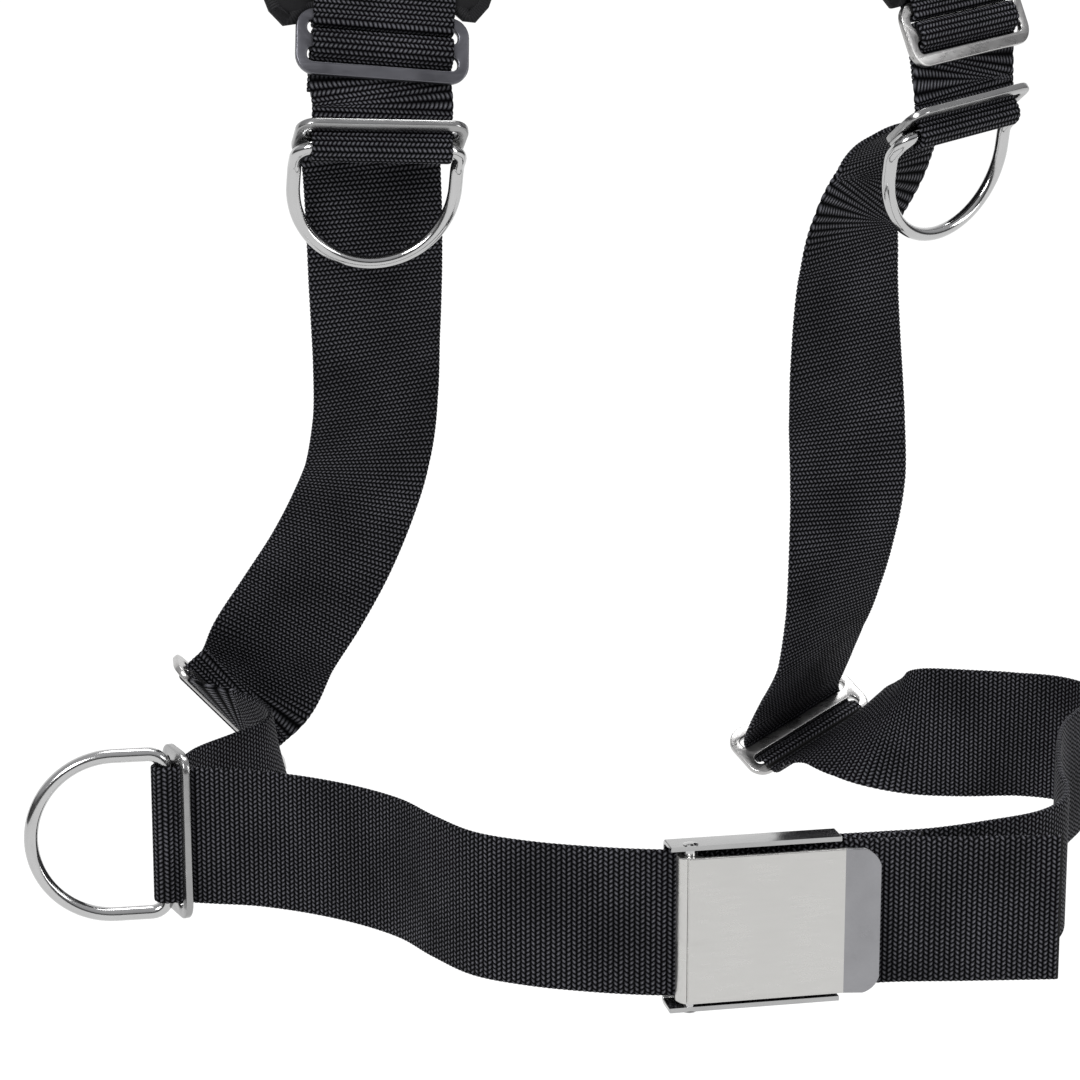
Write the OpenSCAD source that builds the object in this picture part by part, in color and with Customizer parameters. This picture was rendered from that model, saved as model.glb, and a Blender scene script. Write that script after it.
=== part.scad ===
// Webbing harness: padded shoulder straps, chest D-rings, hip slides and a
// waist belt with a cam buckle. The wearer faces -Y, Z is up, and the origin
// is the rest point midway between the undersides of the two shoulder pads.
// Right and left are the wearer's.

/* [Webbing] */
// Width of the webbing
web_w = 50.8; // [48:0.1:52]
// Thickness of the webbing
web_t = 2.0; // [1.8:0.1:2.1]
// Distance between two sweep rings along a free run
web_step = 7; // [5:1:12]

/* [Slides] */
// Length of a three-bar slide across the webbing
slide_l = 62; // [61:0.5:66]
// Height of a three-bar slide along the webbing
slide_h = 24; // [23.5:0.5:25]
// Thickness of a slide plate
slide_t = 2.6; // [2:0.1:2.8]
// Height of each slot in a slide
slot_h = 5; // [4.8:0.1:5.2]
// Length of each slot in a slide
slot_l = 54; // [52.5:0.5:56]

/* [D-rings] */
// Diameter of the ring's rod
rod_d = 5; // [4:0.5:5.5]
// Outer width of a ring
ring_w = 64; // [60:1:68]
// Outer height of a ring
ring_h = 53; // [46:1:56]
// Bend of the chest rings away from the strap, in degrees
ring_bend = 35; // [0:1:40]

/* [Shoulder pads] */
// Width of a pad
pad_w = 79; // [70:1:90]
// Thickness of a pad
pad_t = 14; // [12:1:18]
// Thickness of the cover's fabric
cover_t = 1.2; // [0.8:0.1:1.5]

/* [Buckle] */
// Length of the buckle's base along the belt
base_l = 58; // [56:1:64]
// Height of the buckle's base across the belt
base_h = 57; // [56:0.5:62]
// Depth of the base's side flanges
flange_d = 11; // [10:0.5:13]
// Thickness of the buckle's sheet metal
sheet_t = 1.6; // [1.4:0.1:2]
// Diameter of the hinge pin
pin_d = 4; // [3:0.5:5]
// Height of the flap across the belt
flap_h = 50; // [46:1:52]

/* [Hidden] */
$fn = 48;

// The shoulder rest, seen from the middle of the waist loop
rest = [0, 12, 420];

// ---- vectors ----
function unit(v) = v / norm(v);
function square_to(v, axis) = unit(v - (v * axis) * axis);
function mix(a, b, t) = a * (1 - t) + b * t;

// A fitting's place: centre, direction across the webbing, direction the
// webbing travels, and the outward normal, which completes the frame.
function place(at, across, along) =
  let (w = unit(across), u = square_to(along, w)) [at, w, u, cross(w, u)];
function put(f, u, v, w = 0) = f[0] + u * f[2] + v * f[3] + w * f[1];

// Points of a profile in the plane across a fitting become stations of the
// webbing, each a centre and a direction across.
function threaded(f, profile) = [for (p = profile) [put(f, p[0], p[1]), f[1]]];
function turn(centre, r, from, to, steps) = [
  for (i = [0:steps])
    let (a = from + (to - from) * i / steps)
    centre + r * [cos(a), sin(a)]
];

module stand(f) {
  multmatrix([
    [f[1][0], f[2][0], f[3][0], f[0][0]],
    [f[1][1], f[2][1], f[3][1], f[0][1]],
    [f[1][2], f[2][2], f[3][2], f[0][2]]
  ])
    children();
}

// ---- webbing ----
// Direction of the run at station i, the bisector of its two legs.
function leg(s, i) = unit(s[i + 1][0] - s[i][0]);
function heading(s, i) =
  i == 0 ? leg(s, 0)
  : i == len(s) - 1 ? leg(s, i - 1)
  : unit(leg(s, i - 1) + leg(s, i));

function between(s, i, t) =
  let (
    a = s[i][0],
    b = s[i + 1][0],
    d = norm(b - a),
    t2 = t * t,
    t3 = t2 * t
  )
  [
    (2 * t3 - 3 * t2 + 1) * a + (t3 - 2 * t2 + t) * d * heading(s, i)
      + (3 * t2 - 2 * t3) * b + (t3 - t2) * d * heading(s, i + 1),
    unit(mix(s[i][1], s[i + 1][1], t))
  ];

function run(s, step) = [
  for (i = [0:len(s) - 2])
    let (n = max(1, ceil(norm(s[i + 1][0] - s[i][0]) / step)))
    for (j = [0:n - (i == len(s) - 2 ? 0 : 1)]) between(s, i, j / n)
];

// One ring of a section at ring i of a run: each section point is a distance
// across the run and a distance along its normal.
function ring_at(r, i, section) =
  let (
    ahead = unit(r[min(i + 1, len(r) - 1)][0] - r[max(i - 1, 0)][0]),
    across = square_to(r[i][1], ahead),
    out = cross(across, ahead)
  )
  [for (p = section) r[i][0] + p[0] * across + p[1] * out];

function tape(w, t) = [[-w / 2, -t / 2], [w / 2, -t / 2], [w / 2, t / 2], [-w / 2, t / 2]];

// A solid swept along a run. The section turns clockwise seen along the run.
module sweep(stations, section, step = web_step) {
  r = run(stations, step);
  n = len(section);
  points = [for (i = [0:len(r) - 1]) each ring_at(r, i, section)];
  last = (len(r) - 1) * n;
  sides = [
    for (i = [0:len(r) - 2])
      for (k = [0:n - 1])
        let (a = i * n + k, b = i * n + (k + 1) % n)
        each [[a, b, a + n], [b, b + n, a + n]]
  ];
  ends = [
    for (k = [1:n - 2])
      each [[0, k + 1, k], [last, last + k, last + k + 1]]
  ];
  polyhedron(points = points, faces = concat(sides, ends));
}

// A sleeve swept along a run, open at both ends.
module sleeve(stations, outer, inner, step) {
  r = run(stations, step);
  n = len(outer);
  m = 2 * n;
  points = [
    for (i = [0:len(r) - 1])
      each concat(ring_at(r, i, outer), ring_at(r, i, inner))
  ];
  last = (len(r) - 1) * m;
  sides = [
    for (i = [0:len(r) - 2])
      for (k = [0:n - 1])
        let (a = i * m + k, b = i * m + (k + 1) % n, c = a + n, d = b + n)
        each [
          [a, b, a + m], [b, b + m, a + m],
          [d, c, c + m], [d, c + m, d + m]
        ]
  ];
  ends = [
    for (k = [0:n - 1])
      let (a = k, b = (k + 1) % n, c = a + n, d = b + n)
      each [
        [b, a, c], [b, c, d],
        [last + a, last + b, last + c], [last + b, last + d, last + c]
      ]
  ];
  polyhedron(points = points, faces = concat(sides, ends));
}

// A flat section with round sides, for the pads.
function lozenge(w, t, steps = 5) = [
  for (side = [0, 1])
    for (i = [0:steps])
      let (a = 180 * side - 90 + 180 * i / steps)
      [(side == 0 ? 1 : -1) * (w - t) / 2 + t / 2 * cos(a), t / 2 * sin(a)]
];

// ---- places of the fittings, from the middle of the waist loop ----
slide_up_right = place([-102, -49, 276], [-0.995, 0, 0.09], [0, 0, -1]);
slide_up_left = place([113, -53, 281], [-0.88, -0.44, -0.12], [0, 0, -1]);
keeper_right = place([-102.5, -50, 249], [-1, 0, 0.04], [0, 0, -1]);
keeper_left = place([114, -53, 253.5], [-0.9, -0.42, -0.13], [0, 0, -1]);
keeper_belt = place([-180, -77, 0], [0, 0, 1], [-0.92, 0.38, 0]);
slide_hip_right = place([-148, 54, 7], [-0.68, 0.05, 0.73], [0, -1, -0.1]);
slide_hip_left = place([91, 60, -14], [-0.89, -0.27, -0.37], [0.435, -0.694, -0.541]);
buckle = place([-10.2, -203, 0], [1, -0.02, 0], [0, 0, 1]);

// ---- three-bar slides ----
bar_h = (slide_h - 2 * slot_h) / 3;
bar_pitch = bar_h + slot_h;
ring_clear = 0.65; // space between webbing and a ring, whose corners curve towards it

module rounded_rectangle(w, h, r) {
  square([w - 2 * r, h], center = true);
  square([w, h - 2 * r], center = true);
  for (x = [-1, 1], y = [-1, 1])
    translate([x * (w / 2 - r), y * (h / 2 - r)])
      circle(r);
}

module three_bar_slide() {
  color("silver")
    translate([0, 0, -slide_t / 2])
      linear_extrude(slide_t)
        difference() {
          rounded_rectangle(slide_l, slide_h, 7);
          for (side = [-1, 1])
            translate([0, side * bar_pitch / 2])
              rounded_rectangle(slot_l, slot_h, slot_h * 0.45);
        }
}

// Turns a fitting's place about its own axis across the webbing.
function leaned(f, angle, u = 0, v = 0) =
  [
    put(f, u, v), f[1],
    cos(angle) * f[2] + sin(angle) * f[3],
    cos(angle) * f[3] - sin(angle) * f[2]
  ];

// The upper slides lean out at their lower bar, which the strap runs behind.
upper_lean = 20;
strap_v = -0.2;

// Webbing of the side strap: tail, over the middle bar, and down
upper_profile = [
  [18, -3.2], [12, -3.4], [7, -4], [2, -4.4], [-1, -4.2], [-2.9, -2.9],
  [-3.5, -1.4], [-3.95, -0.1], [-3.3, 1.35], [-1.4, 2.6], [1.2, 3.25],
  [3.2, 2.66], [5.5, 0.94], [8.6, -0.1], [11, strap_v]
];

// Webbing of the shoulder strap: sewn end, round the upper bar, and up
loop_profile = [
  [-29, -3.2], [-20, -2.4], [-13, -1.5], [-9.9, -0.8], [-7, -0.05],
  [-5.7, -1.9], [-5.3, -4.3], [-8.1, -6], [-11, -6.8], [-15, -6.5],
  [-21, -5.6], [-29, -5.4]
];

// The keepers lie across the webbing, which climbs through them over the
// middle bar and the ring's bar and leaves towards the back.
keeper_lean = -55;
keeper_v = 4;
keeper_mid = [bar_pitch * cos(keeper_lean), keeper_v + bar_pitch * sin(keeper_lean)];
keeper_out = [-sin(keeper_lean), cos(keeper_lean)];
ring_bar = keeper_mid + keeper_out * (slide_t / 2 + rod_d / 2 + 0.4);
wrap_r = rod_d / 2 + ring_clear + web_t / 2;

function half_bar(side) =
  keeper_mid + side * bar_pitch / 2 * [cos(keeper_lean), sin(keeper_lean)];

keeper_profile = concat(
  [[-7, 0], [-3, 0], half_bar(-1)],
  turn(ring_bar, wrap_r, 100, -40, 7),
  [half_bar(1), [6.3, -10.3]]
);

// The hip slides take the side strap from in front, round the middle bar,
// and let the waist strap leave over the lower bar.
hip_profile = [
  [-4, 13], [-4.7, 8], [-5.2, 3.5], [-5, 0], [-3.8, -2.1], [0, -2.7],
  [3.6, -2], [5, 0.4], [6.9, 2.5], [10.8, 2.6]
];
hip_exit_right = [[11, 2.6], [13.4, 2.1], [15.8, 1.4], [19, 2.2]];
hip_exit_left = [[11.2, 2.7], [13.6, 3.5], [15.3, 5.6], [16.5, 8.8], [17.5, 12.5]];

module slide_at(f, angle, u = 0, v = 0) {
  stand(leaned(f, angle, u, v))
    three_bar_slide();
}

// ---- routes of the webbing, chosen by hand ----
side_right = concat(
  threaded(slide_up_right, upper_profile),
  threaded(keeper_right, concat(keeper_profile, [[5.2, -14], [7, -18], [11.5, -21.5]])),
  [
    [[-102.2, -26, 229], [-1, 0, 0]],
    [[-101.2, -23.5, 214], [-1, -0.02, 0]],
    [[-99.7, -17, 190], [-1, -0.09, 0.04]],
    [[-98, -8, 162], [-0.96, -0.25, 0.15]],
    [[-97, 1, 138], [-0.93, -0.3, 0.2]],
    [[-98.5, 12, 114], [-0.92, -0.28, 0.28]],
    [[-103, 20, 96], [-0.92, -0.2, 0.36]],
    [[-111, 28, 75], [-0.92, -0.08, 0.4]],
    [[-121, 36, 55], [-0.9, 0.05, 0.43]],
    [[-131, 45, 36], [-0.85, 0.08, 0.52]]
  ],
  threaded(slide_hip_right, hip_profile)
);

side_left = concat(
  threaded(slide_up_left, upper_profile),
  threaded(keeper_left, concat(keeper_profile,
    [[7, -14], [11, -24], [16, -34], [23, -42], [33, -48]])),
  [
    [[89, -6, 205], [-0.85, -0.5, -0.05]],
    [[88, -1, 185], [-0.92, -0.39, -0.09]],
    [[90, 6, 150], [-0.97, -0.24, -0.1]],
    [[93, 12, 124], [-0.98, -0.13, -0.12]],
    [[94, 12, 98], [-0.98, -0.13, -0.14]],
    [[93, 14.5, 73], [-0.95, -0.24, -0.2]],
    [[92, 21, 48.5], [-0.9, -0.34, -0.27]],
    [[90.5, 31, 26.5], [-0.86, -0.39, -0.33]],
    [[88.8, 43.5, 10.5], [-0.88, -0.31, -0.36]]
  ],
  threaded(slide_hip_left, hip_profile)
);

function reversed(list) = [for (i = [len(list) - 1:-1:0]) list[i]];

// Stations inside the buckle: distance along the belt and distance outward
function in_buckle(profile, up) = [
  for (p = profile) [buckle[0] + p[0] * buckle[1] + p[1] * buckle[3], [0, 0, up]]
];

waist_right = concat(
  threaded(slide_hip_right, hip_exit_right),
  [
    [[-143, 28, 6], [-0.58, 0.2, 0.79]],
    [[-138.5, 18, 3.5], [-0.45, 0.22, 0.87]],
    [[-135.5, 5, 1.5], [-0.28, 0.12, 0.95]],
    [[-137, -9.5, 0.5], [-0.15, 0.02, 0.99]],
    [[-144, -23.5, 0], [-0.05, 0, 1]],
    [[-159, -38, 0], [0, 0, 1]],
    [[-174, -53, 0], [0, 0, 1]]
  ],
  threaded(keeper_belt, reversed(concat(keeper_profile, [[5, -16]]))),
  [
    [[-156, -87, 0], [0, 0, 1]],
    [[-131, -107, 0], [0, 0, 1]],
    [[-114, -130, 0], [0, 0, 1]],
    [[-106, -152, 0], [0, 0, 1]],
    [[-96, -173, 0], [0, 0, 1]],
    [[-81, -186, 0], [0, 0, 1]],
    [[-63, -196, 0], [0, 0, 1]],
    [[-46, -203, 0], [0, 0, 1]]
  ],
  in_buckle([[-27, 2.9], [-8, 2.9], [10, 3.2], [19, 5.4], [30, 5.4], [48, 6], [72, 10], [104, 15]], 1)
);

waist_left = concat(
  threaded(slide_hip_left, hip_exit_left),
  [
    [[100.5, 27, -7], [-0.82, -0.3, -0.48]],
    [[105, 15, -4.5], [-0.7, -0.3, -0.64]],
    [[111, 2, -2], [-0.48, -0.3, -0.82]],
    [[121, -8, -0.5], [-0.26, -0.22, -0.94]],
    [[137, -16, 0], [-0.1, -0.12, -0.99]],
    [[155, -22, 0], [0, 0, -1]],
    [[168, -30, 0], [0, 0, -1]],
    [[174, -41, 0], [0, 0, -1]],
    [[173, -52, 0], [0, 0, -1]],
    [[164, -68, 0], [0, 0, -1]],
    [[146, -92, 0], [0, 0, -1]],
    [[133, -118, 0], [0, 0, -1]],
    [[121, -150, 0], [0, 0, -1]],
    [[116, -168, 0], [0, 0, -1]],
    [[108, -183, 0], [0, 0, -1]],
    [[96, -193, 0], [0, 0, -1]],
    [[76, -199, 0], [0, 0, -1]]
  ],
  in_buckle([
    [64, -1.3], [46, -1.3], [30, -1.6], [26, -1.6], [22.8, -1.3], [21.2, 0.8],
    [22.8, 2.9], [26, 3.1], [30, 2.8], [37, 1.3], [46, 1], [60, 1]
  ], -1)
);

// Middle of each shoulder pad, from its front end over to its back end
pad_right = [
  [[-102, -43, 291], [1, 0, -0.08]],
  [[-102, -43, 310], [1, 0, -0.06]],
  [[-101, -41, 345], [1, 0, 0]],
  [[-98, -33, 380], [1, 0, 0.1]],
  [[-94, -14, 412], [1, 0, 0.18]],
  [[-90, 12, 427], [1, 0, 0.2]],
  [[-86, 40, 418], [1, 0, 0.16]],
  [[-83, 60, 393], [1, 0, 0.08]],
  [[-81, 66, 370], [1, 0, 0]],
  [[-80, 68, 350], [1, 0, 0]]
];
pad_left = [
  [[112, -47, 296], [0.88, 0.44, 0.12]],
  [[111, -46, 315], [0.9, 0.4, 0.1]],
  [[108, -43, 348], [0.95, 0.3, 0.02]],
  [[103, -34, 382], [1, 0.15, -0.1]],
  [[98, -14, 412], [1, 0.05, -0.18]],
  [[93, 12, 427], [1, 0, -0.2]],
  [[88, 40, 418], [1, 0, -0.16]],
  [[83, 60, 393], [1, 0, -0.08]],
  [[81, 66, 370], [1, 0, 0]],
  [[80, 68, 350], [1, 0, 0]]
];

// Stations beside a run, at a distance along its normal, facing the other way
function beside(s, offset) = [
  for (i = [0:len(s) - 1])
    let (across = square_to(s[i][1], heading(s, i)))
    [s[i][0] + offset * cross(across, heading(s, i)), -s[i][1]]
];
function part_of(s, from, to) = [for (i = [from:to]) s[i]];

web_offset = 1.7; // webbing outward of the middle of the pad
back_end = [[0, 0.5, -10], [0, 0.5, -58]];

function shoulder_route(f, pad) =
  let (inside = beside(pad, web_offset), end = inside[len(inside) - 1])
  concat(
    threaded(f, loop_profile),
    part_of(inside, 2, len(inside) - 1),
    [for (d = back_end) [end[0] + d, end[1]]]
  );

module webbing(stations) {
  color("#17171b")
    sweep(stations, tape(web_w, web_t));
}

module shoulder_webbing_right() {
  webbing(shoulder_route(slide_up_right, pad_right));
}

module shoulder_webbing_left() {
  webbing(shoulder_route(slide_up_left, pad_left));
}

// Cross strap sewn on the outside of both shoulder straps' back ends
yoke_y = 68.5 + web_offset + web_t + 0.2;
module back_yoke() {
  color("#17171b")
    translate([0, yoke_y, 318])
      cube([2 * 80 + web_w + 12, web_t, web_w], center = true);
}

module pad_cover(stations) {
  color("#202024")
    sleeve(stations, lozenge(pad_w, pad_t), lozenge(pad_w - 2 * cover_t, pad_t - 2 * cover_t), 10);
}

foam_t = 4.6;
foam_offset = -2.8;
module pad_foam(stations) {
  inner = [for (s = beside(part_of(stations, 1, len(stations) - 2), foam_offset)) [s[0], -s[1]]];
  color("#3a3a3e")
    sweep(inner, tape(pad_w - 19, foam_t), 10);
}

// Edge tape along both long sides of a pad
module pad_binding(stations) {
  color("#121214")
    for (side = [-1, 1])
      sweep(
        [
          for (i = [0:len(stations) - 1])
            let (across = square_to(stations[i][1], heading(stations, i)))
            [stations[i][0] + side * (pad_w / 2 + 0.9) * across, stations[i][1]]
        ],
        tape(1.6, pad_t * 0.6), 10
      );
}

// ---- D-rings: a rod with rounded corners and legs that may be bent ----
corner_r = 6;
leg_x = (ring_w - rod_d) / 2;
arc_y = ring_h - rod_d - leg_x;
bend_y = 11;
knuckle_d = rod_d + 0.4; // the rod is a little thicker where it is bent

module rod(length) {
  rotate([-90, 0, 0])
    cylinder(d = rod_d, h = length);
}

module rod_arc(r, angle) {
  rotate_extrude(angle = angle)
    translate([r, 0])
      circle(d = rod_d);
}

module d_ring(bend) {
  color("gainsboro") {
    translate([corner_r - leg_x, 0, 0])
      rotate([0, 0, -90])
        rod(2 * (leg_x - corner_r));
    for (side = [0, 1])
      mirror([side, 0, 0]) {
        translate([leg_x - corner_r, corner_r, 0])
          rotate([0, 0, -90])
            rod_arc(corner_r, 90);
        translate([leg_x, corner_r, 0])
          rod(bend_y - corner_r);
        if (bend > 0)
          translate([leg_x, bend_y, 0])
            sphere(d = knuckle_d);
      }
    translate([0, bend_y, 0])
      rotate([bend, 0, 0]) {
        for (side = [-1, 1])
          translate([side * leg_x, 0, 0])
            rod(arc_y - bend_y);
        translate([0, arc_y - bend_y, 0])
          rod_arc(leg_x, 180);
      }
  }
}

module ring_at_keeper(f, angle, bend) {
  stand(leaned(f, angle, ring_bar[0], ring_bar[1]))
    d_ring(bend);
}

// ---- buckle: x along the belt, y up, z outward ----
pin_x = -22;
pin_z = 9;
barrel_r = 4.6;
slot_x = 18.5;
slot_w = 5.5;
lip_x = 29.5;
lip_l = 12;
lip_angle = 10;
lip_r = 8;

module buckle_base() {
  stand(buckle)
    color("lightgray")
      difference() {
        translate([-base_l / 2, -base_h / 2, 0])
          cube([base_l, base_h, flange_d]);
        translate([-base_l / 2 - 1, sheet_t - base_h / 2, sheet_t])
          cube([base_l + 2, base_h - 2 * sheet_t, flange_d]);
        translate([slot_x, sheet_t + 1 - base_h / 2, -1])
          cube([slot_w, base_h - 2 * sheet_t - 2, flange_d]);
        translate([pin_x, -base_h, pin_z])
          rotate([-90, 0, 0])
            cylinder(d = pin_d + 0.04, h = 2 * base_h);
      }
}

module buckle_pin() {
  stand(buckle)
    color("silver")
      translate([pin_x, -base_h / 2 - 0.4, pin_z])
        rotate([-90, 0, 0])
          cylinder(d = pin_d, h = base_h + 0.8);
}

// Thumb lip with round outer corners
module lip_outline() {
  translate([0, -flap_h / 2])
    square([lip_l - lip_r, flap_h]);
  translate([0, lip_r - flap_h / 2])
    square([lip_l, flap_h - 2 * lip_r]);
  for (side = [-1, 1])
    translate([lip_l - lip_r, side * (flap_h / 2 - lip_r)])
      circle(lip_r);
}

module buckle_flap() {
  plate_z = pin_z + barrel_r - sheet_t;
  stand(buckle)
    color("lightgray")
      difference() {
        union() {
          translate([pin_x, -flap_h / 2, pin_z])
            rotate([-90, 0, 0])
              cylinder(r = barrel_r, h = flap_h);
          translate([pin_x, -flap_h / 2, plate_z])
            cube([lip_x - pin_x, flap_h, sheet_t]);
          translate([lip_x - 0.2, 0, plate_z])
            rotate([0, -lip_angle, 0])
              linear_extrude(sheet_t)
                lip_outline();
        }
        translate([pin_x, -base_h, pin_z])
          rotate([-90, 0, 0])
            cylinder(d = pin_d + 0.1, h = 2 * base_h);
      }
}

// Everything hangs from the shoulder rest, which is the origin.
module hung() {
  translate(-rest)
    children();
}

hung() shoulder_webbing_right();
hung() shoulder_webbing_left();
hung() back_yoke();
hung() pad_cover(pad_right);  // pad_cover_right
hung() pad_cover(pad_left);  // pad_cover_left
hung() pad_foam(pad_right);  // pad_foam_right
hung() pad_foam(pad_left);  // pad_foam_left
hung() pad_binding(pad_right);  // pad_binding_right
hung() pad_binding(pad_left);  // pad_binding_left
hung() slide_at(slide_up_right, upper_lean);  // upper_slide_right
hung() slide_at(slide_up_left, upper_lean);  // upper_slide_left
hung() webbing(side_right);  // side_webbing_right
hung() webbing(side_left);  // side_webbing_left
hung() slide_at(keeper_right, keeper_lean, keeper_mid[0], keeper_mid[1]);  // chest_keeper_right
hung() slide_at(keeper_left, keeper_lean, keeper_mid[0], keeper_mid[1]);  // chest_keeper_left
hung() ring_at_keeper(keeper_right, -50, ring_bend);  // chest_ring_right
hung() ring_at_keeper(keeper_left, -50, ring_bend);  // chest_ring_left
hung() slide_at(slide_hip_right, 0);  // hip_slide_right
hung() slide_at(slide_hip_left, 0);  // hip_slide_left
hung() webbing(waist_right);  // waist_webbing_right
hung() webbing(waist_left);  // waist_webbing_left
hung() slide_at(keeper_belt, keeper_lean, keeper_mid[0], keeper_mid[1]);  // belt_keeper
hung() ring_at_keeper(keeper_belt, 20, 0);  // belt_ring
hung() buckle_base();
hung() buckle_flap();
hung() buckle_pin();
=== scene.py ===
"""Looks of a padded webbing harness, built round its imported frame.

Sizes and places are millimetres, measured from the middle of the waist loop,
as in the part's source; piece() turns them into the frame's metres.
Right and left are the wearer's, and the wearer faces -Y.
"""
import math

import bmesh
import bpy
import numpy as np
from mathutils import Euler, Matrix, Vector


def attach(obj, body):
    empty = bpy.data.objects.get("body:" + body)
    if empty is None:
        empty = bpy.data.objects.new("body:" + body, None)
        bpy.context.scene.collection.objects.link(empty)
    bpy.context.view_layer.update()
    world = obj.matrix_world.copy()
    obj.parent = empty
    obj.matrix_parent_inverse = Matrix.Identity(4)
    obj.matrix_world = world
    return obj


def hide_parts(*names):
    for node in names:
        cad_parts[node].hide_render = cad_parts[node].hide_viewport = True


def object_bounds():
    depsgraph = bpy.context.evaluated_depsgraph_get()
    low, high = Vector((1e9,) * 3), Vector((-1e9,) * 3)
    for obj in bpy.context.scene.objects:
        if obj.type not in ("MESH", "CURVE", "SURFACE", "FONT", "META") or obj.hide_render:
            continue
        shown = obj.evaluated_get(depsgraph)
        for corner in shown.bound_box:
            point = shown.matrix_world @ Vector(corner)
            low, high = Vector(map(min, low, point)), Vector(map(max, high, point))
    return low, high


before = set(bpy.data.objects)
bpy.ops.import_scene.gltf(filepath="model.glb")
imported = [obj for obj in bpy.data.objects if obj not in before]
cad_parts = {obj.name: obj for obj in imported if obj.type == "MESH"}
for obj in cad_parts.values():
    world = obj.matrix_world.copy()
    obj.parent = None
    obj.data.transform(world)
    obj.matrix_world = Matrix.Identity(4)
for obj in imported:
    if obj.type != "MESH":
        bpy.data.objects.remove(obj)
cad_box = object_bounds()

MM = 0.001
REST = np.array([0.0, 12, 420])  # the shoulder rest, the frame's origin

# Driving sizes, as in the part's source
WEB_W, WEB_T = 50.8, 2.0
SLIDE_L, SLIDE_H, SLIDE_T = 62, 24, 2.6
SLOT_L, SLOT_H = 54, 5
ROD_D, RING_W, RING_H, RING_BEND = 5, 64, 53, 35
PAD_W, PAD_T = 79, 14
BASE_L, BASE_H, FLANGE_D, SHEET_T = 58, 57, 11, 1.6
PIN_D, FLAP_H = 4, 50
PIN_X, PIN_Z, BARREL_R = -22, 9, 4.6
SLOT_X, SLOT_W = 18.5, 5.5
LIP_X, LIP_L, LIP_ANGLE, LIP_R = 29.5, 12, 10, 8

RIB = 1.75  # distance between two ribs of the webbing
RIB_STEPS = 4  # rings swept for each rib
SEALED_L = 1.2  # length of the melted edge at a strap's end


# ---- vectors and places ----
def unit(v):
    v = np.asarray(v, float)
    return v / np.linalg.norm(v)


def square_to(v, axis):
    v = np.asarray(v, float)
    return unit(v - (v @ axis) * axis)


class Place:
    """A fitting's centre, with w across the webbing, u along it and v outward."""

    def __init__(self, at, across, along):
        self.at = np.asarray(at, float)
        self.w = unit(across)
        self.u = square_to(along, self.w)
        self.v = np.cross(self.w, self.u)

    def put(self, u, v, w=0):
        return self.at + u * self.u + v * self.v + w * self.w

    def leaned(self, angle, u=0, v=0):
        """The place turned about its own w, with its centre moved to (u, v)."""
        a = math.radians(angle)
        along = math.cos(a) * self.u + math.sin(a) * self.v
        return Place(self.put(u, v), self.w, along)

    def threaded(self, profile):
        return [(self.put(u, v), self.w) for u, v in profile]

    def points(self, local):
        """Local points (along w, along u, along v) in the shared space."""
        local = np.asarray(local, float)
        return self.at + local @ np.array([self.w, self.u, self.v])


def turn(centre, radius, start, end, steps):
    angles = np.radians(np.linspace(start, end, steps + 1))
    return [(centre[0] + radius * math.cos(a), centre[1] + radius * math.sin(a)) for a in angles]


def stations(rows):
    return [(np.asarray(at, float), unit(across)) for at, across in rows]


# ---- places of the fittings ----
slide_up_right = Place([-102, -49, 276], [-0.995, 0, 0.09], [0, 0, -1])
slide_up_left = Place([113, -53, 281], [-0.88, -0.44, -0.12], [0, 0, -1])
keeper_right = Place([-102.5, -50, 249], [-1, 0, 0.04], [0, 0, -1])
keeper_left = Place([114, -53, 253.5], [-0.9, -0.42, -0.13], [0, 0, -1])
keeper_belt = Place([-180, -77, 0], [0, 0, 1], [-0.92, 0.38, 0])
slide_hip_right = Place([-148, 54, 7], [-0.68, 0.05, 0.73], [0, -1, -0.1])
slide_hip_left = Place([91, 60, -14], [-0.89, -0.27, -0.37], [0.435, -0.694, -0.541])
buckle = Place([-10.2, -203, 0], [1, -0.02, 0], [0, 0, 1])

BAR_PITCH = (SLIDE_H - 2 * SLOT_H) / 3 + SLOT_H
UPPER_LEAN = 20
KEEPER_LEAN = math.radians(-55)
KEEPER_ALONG = np.array([math.cos(KEEPER_LEAN), math.sin(KEEPER_LEAN)])
KEEPER_OUT = np.array([-KEEPER_ALONG[1], KEEPER_ALONG[0]])
KEEPER_MID = np.array([0, 4]) + BAR_PITCH * KEEPER_ALONG
RING_BAR = KEEPER_MID + KEEPER_OUT * (SLIDE_T / 2 + ROD_D / 2 + 0.4)
WRAP_R = ROD_D / 2 + 0.65 + WEB_T / 2

upper_profile = [
    (18, -3.2), (12, -3.4), (7, -4), (2, -4.4), (-1, -4.2), (-2.9, -2.9),
    (-3.5, -1.4), (-3.95, -0.1), (-3.3, 1.35), (-1.4, 2.6), (1.2, 3.25),
    (3.2, 2.66), (5.5, 0.94), (8.6, -0.1), (11, -0.2),
]
loop_profile = [
    (-29, -3.2), (-20, -2.4), (-13, -1.5), (-9.9, -0.8), (-7, -0.05),
    (-5.7, -1.9), (-5.3, -4.3), (-8.1, -6), (-11, -6.8), (-15, -6.5),
    (-21, -5.6), (-29, -5.4),
]
hip_profile = [
    (-4, 13), (-4.7, 8), (-5.2, 3.5), (-5, 0), (-3.8, -2.1), (0, -2.7),
    (3.6, -2), (5, 0.4), (6.9, 2.5), (10.8, 2.6),
]
hip_exit_right = [(11, 2.6), (13.4, 2.1), (15.8, 1.4), (19, 2.2)]
hip_exit_left = [(11.2, 2.7), (13.6, 3.5), (15.3, 5.6), (16.5, 8.8), (17.5, 12.5)]


def half_bar(side):
    return tuple(KEEPER_MID + side * BAR_PITCH / 2 * KEEPER_ALONG)


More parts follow.
